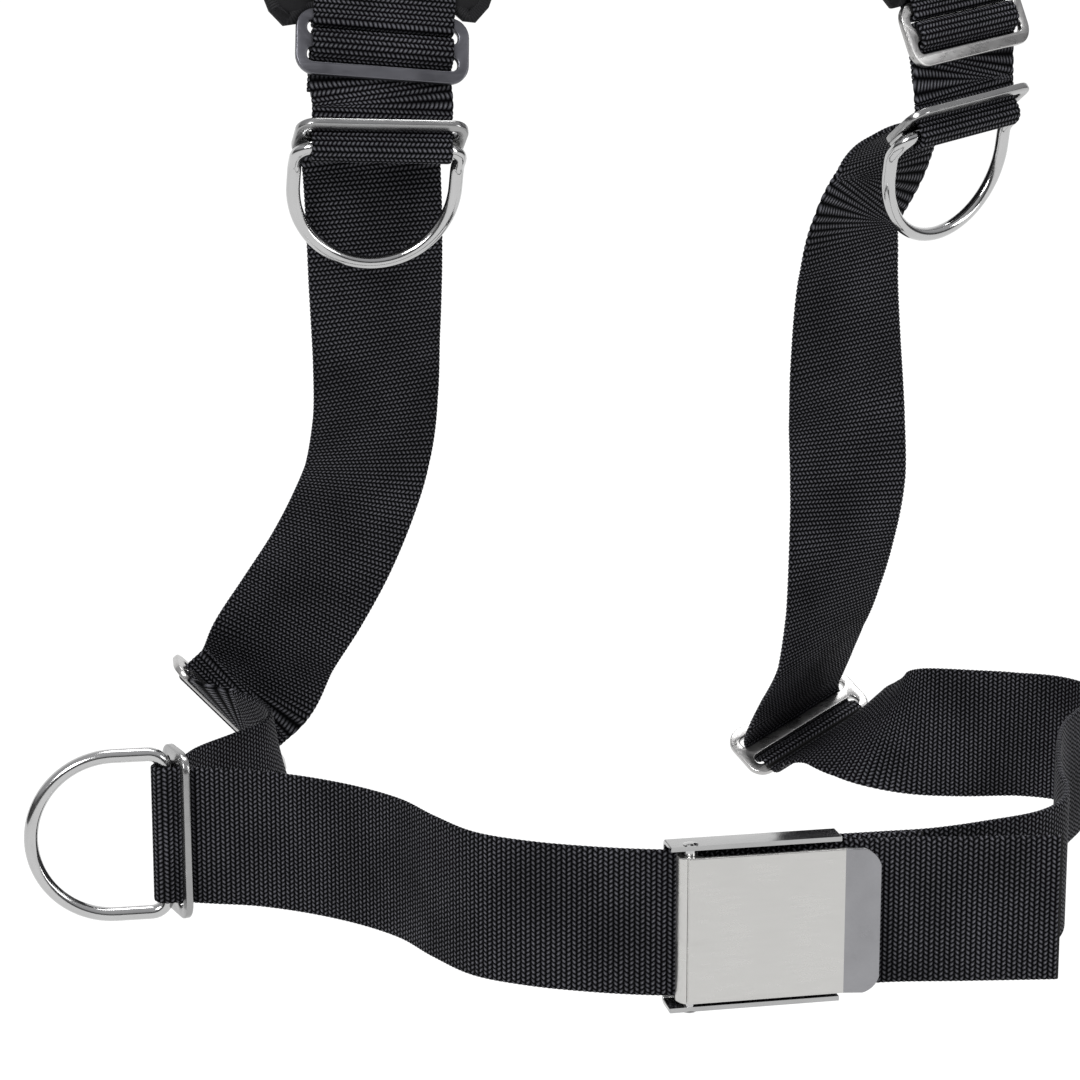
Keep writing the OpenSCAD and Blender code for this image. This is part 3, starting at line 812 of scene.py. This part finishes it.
def buckle_flap():
    """Sheet curled round the pin, a flat plate, and a thumb lip bent out."""
    top = PIN_Z + BARREL_R
    low = top - SHEET_T
    a = math.radians(LIP_ANGLE)
    tip = (LIP_X + LIP_L * math.cos(a), low + LIP_L * math.sin(a))
    rise = (-SHEET_T * math.sin(a), SHEET_T * math.cos(a))
    bore = PIN_D / 2 + 0.05
    pin = (PIN_X, PIN_Z)
    curl = turn(pin, BARREL_R, 90, 107, 3)
    curl += turn(pin, BARREL_R - 0.9, 108, 115, 2)  # a shallow groove along the bend
    curl += turn(pin, BARREL_R, 116, 315, 30)
    hook = turn(pin, bore, 315, 20, 22)
    outer = [(LIP_X, low), tip, (tip[0] + rise[0], tip[1] + rise[1]), (LIP_X, top)]
    outer += curl + hook + [(PIN_X + 4.2, low)]
    axes = (buckle.w, buckle.v, -buckle.u)
    obj = plate("buckle_flap", buckle, [outer], FLAP_H, 0.35, BUCKLE_STEEL, axes)
    end = LIP_X + LIP_L * math.cos(a)
    centre = (PIN_X - 10 + end) / 2
    back = centre - (end - PIN_X) * 0.65  # square, and clear of the curl
    trim = outline_rectangle(end - PIN_X + 10, FLAP_H + 0.6, LIP_R, 10)
    trim = [
        (x + centre, y) if x > 0 else (back, math.copysign(FLAP_H / 2 + 2, y))
        for x, y in trim
    ]
    tool = plate("lip_tool", buckle, [trim], 60, 0.01, BUCKLE_STEEL)
    cut(obj, tool, "INTERSECT")
    obj.data.set_sharp_from_angle(angle=math.radians(9))
    # The lip's faces get the darker copy of the steel: painted shade, not a different metal.
    obj.data.materials.append(LIP_SHADED_STEEL)
    for polygon in obj.data.polygons:
        centre = np.array(polygon.center) / MM + REST - buckle.at
        if centre @ buckle.w > LIP_X + 0.3:
            polygon.material_index = 1
    return mated(obj, "flap", ["buckle_flap"])


# ---- shoulder pads ----
EDGE_T = 3.0  # thickness of a pad's sewn edge
SEAM_IN = 7.5  # distance of the seam from the pad's edge
CORNER_R = 13.0  # round corners of the pad's ends
LOBE_DROP = 5.5  # how far the front corners hang below the notch
TAPE_REACH = 2.7  # half the edge tape's width, measured in the pad's plane
SETTLE_FRAMES = 15  # length of the cloth simulation
MOST_SWELL = 1.6  # furthest that the simulation may move a point


def smooth_step(x):
    x = np.clip(x, 0, 1)
    return x * x * (3 - 2 * x)


class PadShape:
    """The pad's middle surface: rows along the run, columns across it."""

    def __init__(self, s, columns=41, step=4):
        self.run = Run(s, step)
        self.u = np.linspace(-1, 1, columns)
        self.rows = len(self.run.s)

    def half_width(self, i):
        """Half the pad's width, drawn in where its corners are round."""
        r = CORNER_R
        gone = min(self.run.s[i], self.run.length - self.run.s[i])
        if gone >= r:
            return PAD_W / 2
        return PAD_W / 2 - r + math.sqrt(max(r * r - (r - gone - 1.5) ** 2, 0.25 * r * r))

    def lobe(self, i, across):
        """How far the two front corners hang below the notch between them."""
        fade = 1 - smooth_step(self.run.s[i] / 24)
        return LOBE_DROP * fade * smooth_step((np.abs(across) - 25) / 8)

    def across(self, i):
        return self.u * self.half_width(i)

    def middle(self, i):
        across = self.across(i)
        return self.run.at(i, across, 0 * across) - np.outer(self.lobe(i, across), self.run.ahead[i])

    def half_thickness(self, i):
        """Crowned between the sewn edges, with a channel along the seam."""
        across = self.across(i)
        from_side = self.half_width(i) - np.abs(across)
        from_end = min(self.run.s[i], self.run.length - self.run.s[i])
        rise = smooth_step(from_side / 16) ** 0.5 * (0.45 + 0.55 * smooth_step(from_end / 20) ** 0.6)
        seam = np.exp(-((from_side - SEAM_IN) / 1.6) ** 2)
        full = EDGE_T / 2 + (PAD_T / 2 - EDGE_T / 2) * rise
        return np.maximum(full - 1.1 * seam, EDGE_T / 2)

    def crease(self, i, side):
        """Shallow folds of the fabric on the inside of the bend."""
        lean = 9 * np.sin(self.u * 2.1 + i * 0.11)
        wave = np.sin((self.run.s[i] + lean) / 5.2) * np.cos(self.u * 1.4) ** 2
        middle = math.exp(-((self.run.s[i] / self.run.length - 0.55) / 0.28) ** 2)
        return (0.5 if side < 0 else 0.12) * middle * wave

    def sheet(self, i, side):
        height = self.half_thickness(i) + self.crease(i, side)
        return self.middle(i) + side * np.outer(height, self.run.out[i])


def pad_cover(name, shape):
    """Top and bottom sheets, which meet along the sewn edge."""
    points = [np.vstack([shape.sheet(i, -1), shape.sheet(i, 1)[::-1]]) for i in range(shape.rows)]
    return piece(name, np.vstack(points), capped(shape.rows, 2 * len(shape.u)), COVER)


def inflated(obj, shape):
    """Lets the cover swell a little, as cloth held along its sewn edge."""
    held = obj.vertex_groups.new(name="held")
    start = np.array([v.co for v in obj.data.vertices])
    half = len(shape.u)
    n = 2 * half
    edge = {0, 1, half - 2, half - 1, half, half + 1, n - 2, n - 1}
    for i in range(shape.rows):
        for k in range(n):
            end = i in (0, 1, shape.rows - 2, shape.rows - 1)
            held.add([i * n + k], 1.0 if end or k in edge else 0.0, "REPLACE")
    modifier = obj.modifiers.new("Cloth", "CLOTH")
    cloth = modifier.settings
    cloth.quality = 6
    cloth.mass = 0.3
    cloth.tension_stiffness = 25
    cloth.compression_stiffness = 12
    cloth.bending_stiffness = 4
    cloth.use_pressure = True
    cloth.uniform_pressure_force = 3
    cloth.vertex_group_mass = "held"
    cloth.pin_stiffness = 1
    cloth.effector_weights.gravity = 0
    modifier.collision_settings.use_collision = False
    scene = bpy.context.scene
    for number in range(1, SETTLE_FRAMES + 1):
        scene.frame_set(number)
    graph = bpy.context.evaluated_depsgraph_get()
    end = np.array([v.co for v in obj.evaluated_get(graph).data.vertices])
    obj.modifiers.clear()
    obj.vertex_groups.clear()
    scene.frame_set(1)
    move = end - start
    far = np.linalg.norm(move, axis=1)[:, None]
    move *= np.minimum(1, MOST_SWELL * MM / np.maximum(far, 1e-9))
    obj.data.vertices.foreach_set("co", (start + move).ravel().astype(np.float32))
    obj.data.update()


def pad_edge(shape):
    """The pad's outline once round: middle points and outward normals."""
    first, last = 0, shape.rows - 1
    columns = range(len(shape.u))
    path = [(first, k) for k in columns]
    path += [(i, len(shape.u) - 1) for i in range(1, last)]
    path += [(last, k) for k in reversed(columns)]
    path += [(i, 0) for i in range(last - 1, 0, -1)]
    points = np.array([shape.middle(i)[k] for i, k in path])
    out = np.array([shape.run.out[i] for i, k in path])
    return points, out


def pad_binding(name, shape, nodes):
    """Tape folded round the whole edge, thicker where the webbing leaves."""
    points, out = pad_edge(shape)
    ahead = unit_rows(np.roll(points, -1, axis=0) - np.roll(points, 1, axis=0))
    side = unit_rows(np.cross(ahead, out))
    gone = np.linalg.norm(points - np.roll(points, 1, axis=0), axis=1)
    distance = np.cumsum(gone)
    section = []
    for a in np.radians(np.arange(0, 360, 24)):
        c, s = math.cos(a), math.sin(a)
        section.append((math.copysign(abs(c) ** 0.7, c), math.copysign(abs(s) ** 0.7, s)))
    ends = len(shape.u)
    made, weave = [], []
    for i, (centre, lateral, normal) in enumerate(zip(points, side, out)):
        across = abs(shape.u[i if i < ends else 0]) * PAD_W / 2 if i < ends else 99
        height = EDGE_T / 2 + 0.9 + 2.1 * (1 - smooth_step((across - 24) / 7))
        for x, y in section:
            made.append(centre + TAPE_REACH * x * lateral + height * y * normal)
            weave.append((x, distance[i] / 0.9, y))
    faces = tube_faces(len(points), len(section), closed_run=True)
    obj = piece(name, made, faces, BINDING)
    give(obj, "weave", weave)
    face_outward(obj.data)
    return mated(obj, "harness", nodes)


def pad_seams(name, shape):
    """Two sewn lines along each face."""
    rows = []
    for side in (-1, 1):
        for u in (-1, 1):
            line = []
            for i in range(4, shape.rows - 4, 2):
                half = shape.half_width(i)
                where = u * (half - SEAM_IN)
                height = np.interp(where, shape.across(i), shape.half_thickness(i)) + 0.15
                line.append((shape.run.at(i, [where], [side * height])[0], side * shape.run.out[i]))
            rows.append(line)
    return sew(name, rows, "harness")


def pad_foam(name, s, nodes):
    """The foam slab inside the cover, with rounded edges."""
    inner = [(centre, -across) for centre, across in beside(s[1:-1], -2.8)]
    run = Run(inner, 6)
    section = tape_section((PAD_W - 19) / 2, 2.3, 10, 4)
    points = [run.at(i, section[:, 0], section[:, 1]) for i in range(len(run.s))]
    obj = piece(name, np.vstack(points), capped(len(points), len(section)), FOAM)
    return mated(obj, "harness", nodes)


def shoulder_pad(side, s):
    shape = PadShape(s)
    cover = pad_cover(f"pad_cover_{side}", shape)
    inflated(cover, shape)
    applied(cover, ("SUBSURF", {"levels": 1}))
    cover.data.shade_smooth()
    mated(cover, "harness", [f"pad_cover_{side}"])
    pad_binding(f"pad_binding_{side}", shape, [f"pad_binding_{side}"])
    pad_seams(f"pad_seams_{side}", shape)
    pad_foam(f"pad_foam_{side}", s, [f"pad_foam_{side}"])


# ---- cross strap ----
def yoke():
    """The cross strap at the back, and the box stitches that hold it."""
    ends = [([-YOKE_X, YOKE_Y, YOKE_Z], [0, 0, 1]), ([YOKE_X, YOKE_Y, YOKE_Z], [0, 0, 1])]
    webbing("back_yoke", stations(ends), "harness", ["back_yoke"])
    out = (0, 1, 0)
    face = YOKE_Y + WEB_T / 2 + 0.1
    rows = []
    for x in (-80, 80):
        corners = ((-21, -20), (21, -20), (21, 20), (-21, 20), (-21, -20))
        box = [(x + a, face, YOKE_Z + b) for a, b in corners]
        rows.append([(p, out) for p in box])
        rows.append([(box[0], out), (box[2], out)])
        rows.append([(box[1], out), (box[3], out)])
    sew("yoke_stitches", rows, "harness")


# ---- the harness ----
lean = math.degrees(KEEPER_LEAN)
for side, place, keeper, hip, pad in (
    ("right", slide_up_right, keeper_right, slide_hip_right, pad_right),
    ("left", slide_up_left, keeper_left, slide_hip_left, pad_left),
):
    name = f"shoulder_webbing_{side}"
    webbing(name, shoulder_route(place, pad), "harness", [name])
    shoulder_pad(side, pad)
    upper = (DULL_STEEL, "dull_steel") if side == "right" else (SATIN_STEEL, "satin_steel")
    three_bar_slide(f"upper_slide_{side}", place.leaned(UPPER_LEAN), "harness", *upper)
    three_bar_slide(
        f"chest_keeper_{side}", keeper.leaned(lean, *KEEPER_MID), "harness", KEEPER_STEEL, "satin_steel")
    rod_ring(f"chest_ring_{side}", keeper.leaned(-50, *RING_BAR), RING_BEND, f"chest_ring_{side}")
    three_bar_slide(f"hip_slide_{side}", hip, "harness", SATIN_STEEL, "satin_steel")

for name, route in (
    ("side_webbing_right", side_right),
    ("side_webbing_left", side_left),
    ("waist_webbing_right", waist_right),
    ("waist_webbing_left", waist_left),
):
    webbing(name, route, "harness", [name])
three_bar_slide(
    "belt_keeper", keeper_belt.leaned(lean, *KEEPER_MID), "harness", KEEPER_STEEL, "satin_steel")
rod_ring("belt_ring", keeper_belt.leaned(20, *RING_BAR), 0, "belt_ring")
yoke()
buckle_base()
buckle_pin()
buckle_flap()


# ---- floor, light and camera ----
def sheet_of_paper(name, corners):
    """White paper, lit so evenly that it shows no shade of its own."""
    mesh = bpy.data.meshes.new(name)
    mesh.from_pydata(corners, [], [(0, 1, 2, 3)])
    obj = bpy.data.objects.new(name, mesh)
    bpy.context.scene.collection.objects.link(obj)
    shader = Shader(name, 0.9)
    tone = shader.noise(3.0)
    shader.colour(shader.mix(tone, (0.04, 0.04, 0.04), (0.05, 0.05, 0.05)))
    shader.feed(shader.surface.inputs["Emission Color"], (1, 1, 1, 1))
    shader.feed(shader.surface.inputs["Emission Strength"], 1.0)
    mesh.materials.append(shader.material)


def softbox(name, at, aim, size, power):
    data = bpy.data.lights.new(name, "AREA")
    data.shape = "RECTANGLE"
    data.size, data.size_y = size
    data.energy = power
    light = bpy.data.objects.new(name, data)
    light.location = at
    light.rotation_euler = (Vector(aim) - Vector(at)).to_track_quat("-Z", "Y").to_euler()
    bpy.context.scene.collection.objects.link(light)


def studio():
    """A pale room, darkest round the middle of its walls, for the metal to mirror."""
    world = bpy.data.worlds.new("studio")
    world.use_nodes = True
    tree = world.node_tree
    direction = tree.nodes.new("ShaderNodeTexCoord").outputs["Generated"]
    split = tree.nodes.new("ShaderNodeSeparateXYZ")
    tree.links.new(direction, split.inputs[0])
    ramp = tree.nodes.new("ShaderNodeValToRGB")
    height = tree.nodes.new("ShaderNodeMapRange")
    height.inputs["From Min"].default_value = -1
    tree.links.new(split.outputs[2], height.inputs["Value"])
    tree.links.new(height.outputs[0], ramp.inputs[0])
    stops = ((0.0, 0.5), (0.42, 0.45), (0.5, 0.12), (0.58, 0.1), (0.68, 0.7), (1.0, 0.9))
    while len(ramp.color_ramp.elements) < len(stops):
        ramp.color_ramp.elements.new(0.5)
    for element, (place, shade) in zip(ramp.color_ramp.elements, stops):
        element.position = place
        element.color = (shade, shade, shade * 1.02, 1)
    tree.links.new(ramp.outputs[0], tree.nodes["Background"].inputs[0])
    tree.nodes["Background"].inputs[1].default_value = 0.7
    bpy.context.scene.world = world


def camera():
    """The view from the front, a little to the wearer's right and above."""
    data = bpy.data.cameras.new("camera")
    data.lens = 107
    data.sensor_width = 36
    obj = bpy.data.objects.new("camera", data)
    obj.location = (-0.3045, -1.1844, -0.0651)
    obj.rotation_euler = Euler((math.radians(90 - 12.7), 0, math.radians(-13)))
    bpy.context.scene.collection.objects.link(obj)
    bpy.context.scene.camera = obj


level = cad_box[0][2] - 0.45  # the harness hangs this far above the floor
side, front, back, top = 6, -6, 4, level + 6
sheet_of_paper("floor", [(-side, front, level), (side, front, level), (side, back, level), (-side, back, level)])
sheet_of_paper("backdrop", [(-side, back, level), (side, back, level), (side, back, top), (-side, back, top)])
studio()
middle = (0, -0.1, -0.3)
softbox("key", (-1.3, -1.7, 0.9), middle, (0.8, 0.8), 42)
softbox("fill", (1.6, -1.5, 0.2), middle, (0.5, 1.4), 14)
softbox("top", (0.2, 0.2, 1.6), middle, (1.2, 0.8), 25)
camera()
bpy.context.scene.view_settings.view_transform = "Standard"
